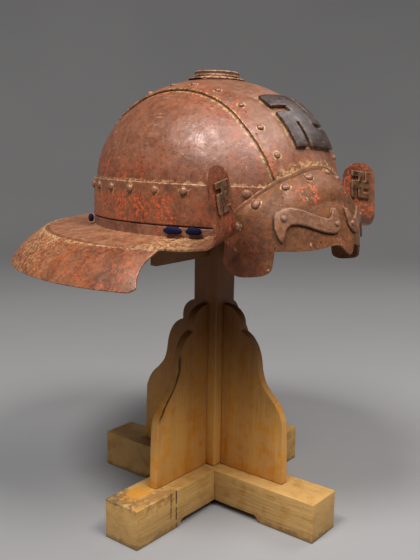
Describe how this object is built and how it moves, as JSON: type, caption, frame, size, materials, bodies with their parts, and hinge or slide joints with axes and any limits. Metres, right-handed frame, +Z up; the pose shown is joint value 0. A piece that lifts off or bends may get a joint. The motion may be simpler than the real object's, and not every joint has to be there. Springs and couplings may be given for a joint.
{
  "type": "kabuto samurai helmet on wooden stand",
  "caption": "Riveted plate helmet with brow plate, forged eyebrows, crown ring, turned-up ears and flared two-plate neck guard, on a cross-footed wooden stand.",
  "frame": {"origin": "on the floor, under the middle of the whole outline; the stand's post is 4 mm and 23 mm off it", "axes": "+Z up; the helmet's brow faces -Y and the wearer's right is -X, apart from a 6 degree turn of the helmet on its stand"},
  "size_m": [0.3302, 0.343, 0.3946],
  "materials": {
    "lacquered_iron": "worn rust-brown lacquer, satin",
    "lacquered_iron_fittings": "worn rust-brown lacquer, satin",
    "dark_lacquer": "dark brown lacquer, semi-gloss",
    "patinated_copper": "dull, green and brown patina",
    "silk_cord": "braided silk, dark blue",
    "cypress_wood": "bare aged softwood, honey brown"
  },
  "bodies": {
    "root": {"bowl_side_plate_left": "lacquered_iron", "bowl_side_plate_right": "lacquered_iron", "bowl_top_plate": "lacquered_iron", "base_band": "lacquered_iron", "brow_plate": "lacquered_iron", "eyebrow_left": "lacquered_iron", "eyebrow_right": "lacquered_iron", "crown_flange": "lacquered_iron_fittings", "crown_ring": "lacquered_iron_fittings", "front_crest": "dark_lacquer", "neck_guard_upper": "lacquered_iron", "neck_guard_lower": "lacquered_iron", "ear_crest_left": "patinated_copper", "ear_crest_right": "patinated_copper", "lace_left_1": "silk_cord", "lace_right_1": "silk_cord", "lace_left_2": "silk_cord", "lace_right_2": "silk_cord", "lace_left_3": "silk_cord", "lace_right_3": "silk_cord", "stand_foot_beam_side": "cypress_wood", "stand_foot_beam_front": "cypress_wood", "stand_post": "cypress_wood", "stand_brace_left": "cypress_wood", "stand_top_rib_left": "cypress_wood", "stand_brace_back": "cypress_wood", "stand_top_rib_back": "cypress_wood", "stand_brace_right": "cypress_wood", "stand_top_rib_right": "cypress_wood", "stand_brace_front": "cypress_wood", "stand_top_rib_front": "cypress_wood"}
  },
  "joints": []
}
